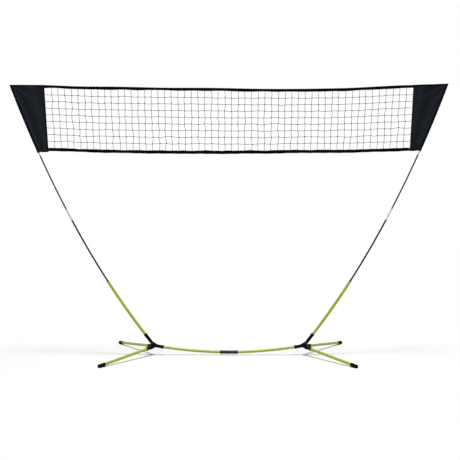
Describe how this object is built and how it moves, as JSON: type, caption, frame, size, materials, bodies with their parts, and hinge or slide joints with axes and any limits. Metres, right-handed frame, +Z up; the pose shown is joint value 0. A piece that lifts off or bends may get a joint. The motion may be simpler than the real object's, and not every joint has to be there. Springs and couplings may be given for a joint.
{
  "type": "portable badminton net",
  "caption": "Free-standing sports net held between two outward-bowed sectional poles on folding splayed legs, with a bowed base bar.",
  "frame": {"origin": "on the floor, midway between the two hubs", "axes": "+X along the net, -Y towards the front, +Z up"},
  "size_m": [2.5064, 0.752, 1.5543],
  "materials": {
    "lime_tube": "semi-gloss lime-green powder coat on steel tube",
    "hub_plastic": "black moulded nylon with a light sheen",
    "cap_rubber": "black moulded rubber",
    "fibreglass": "black lacquered glass-fibre rod",
    "ferrule_steel": "bright plated ferrule",
    "zinc_steel": "zinc-plated",
    "black_steel": "blackened steel fastener",
    "elastic_cord": "braided black elastic",
    "net_cord": "knotted black nylon cord",
    "tape_fabric": "black woven binding tape",
    "panel_fabric": "blue-black woven polyester"
  },
  "bodies": {
    "base": {"bar_coupler": "hub_plastic", "coupler_insert": "zinc_steel", "base_shock_cord": "elastic_cord", "net_mesh": "net_cord", "top_tape": "tape_fabric", "bottom_tape": "tape_fabric", "right_hub": "hub_plastic", "right_pole_socket": "hub_plastic", "right_socket_bolt": "black_steel", "right_socket_nut": "black_steel", "right_base_tube": "lime_tube", "right_pole_tube": "lime_tube", "right_reducer_bush": "hub_plastic", "right_lower_rod": "fibreglass", "right_lower_ferrule": "ferrule_steel", "right_upper_rod": "fibreglass", "right_upper_ferrule": "ferrule_steel", "right_top_rod": "fibreglass", "right_tip_cap": "cap_rubber", "right_pole_shock_cord": "elastic_cord", "right_end_panel": "panel_fabric", "right_pole_sleeve": "tape_fabric", "left_hub": "hub_plastic", "left_pole_socket": "hub_plastic", "left_socket_bolt": "black_steel", "left_socket_nut": "black_steel", "left_base_tube": "lime_tube", "left_pole_tube": "lime_tube", "left_reducer_bush": "hub_plastic", "left_lower_rod": "fibreglass", "left_lower_ferrule": "ferrule_steel", "left_upper_rod": "fibreglass", "left_upper_ferrule": "ferrule_steel", "left_top_rod": "fibreglass", "left_tip_cap": "cap_rubber", "left_pole_shock_cord": "elastic_cord", "left_end_panel": "panel_fabric", "left_pole_sleeve": "tape_fabric", "right_front_pivot_pin": "black_steel", "right_back_pivot_pin": "black_steel", "left_front_pivot_pin": "black_steel", "left_back_pivot_pin": "black_steel"},
    "right_front_leg": {"right_front_leg_root": "hub_plastic", "right_front_leg_tube": "lime_tube", "right_front_foot_cap": "cap_rubber"},
    "right_back_leg": {"right_back_leg_root": "hub_plastic", "right_back_leg_tube": "lime_tube", "right_back_foot_cap": "cap_rubber"},
    "left_front_leg": {"left_front_leg_root": "hub_plastic", "left_front_leg_tube": "lime_tube", "left_front_foot_cap": "cap_rubber"},
    "left_back_leg": {"left_back_leg_root": "hub_plastic", "left_back_leg_tube": "lime_tube", "left_back_foot_cap": "cap_rubber"}
  },
  "joints": [
    {"name": "right_front_leg_fold", "type": "hinge", "parent": "base", "child": "right_front_leg", "pos_m": [0.4485, -0.02785, 0.04782], "axis": [0, 0, -1], "range_deg": [0, 125]},
    {"name": "right_back_leg_fold", "type": "hinge", "parent": "base", "child": "right_back_leg", "pos_m": [0.4485, 0.02785, 0.04782], "axis": [0, 0, 1], "range_deg": [0, 125]},
    {"name": "left_front_leg_fold", "type": "hinge", "parent": "base", "child": "left_front_leg", "pos_m": [-0.4485, -0.02785, 0.04782], "axis": [0, 0, 1], "range_deg": [0, 125]},
    {"name": "left_back_leg_fold", "type": "hinge", "parent": "base", "child": "left_back_leg", "pos_m": [-0.4485, 0.02785, 0.04782], "axis": [0, 0, -1], "range_deg": [0, 125]}
  ]
}
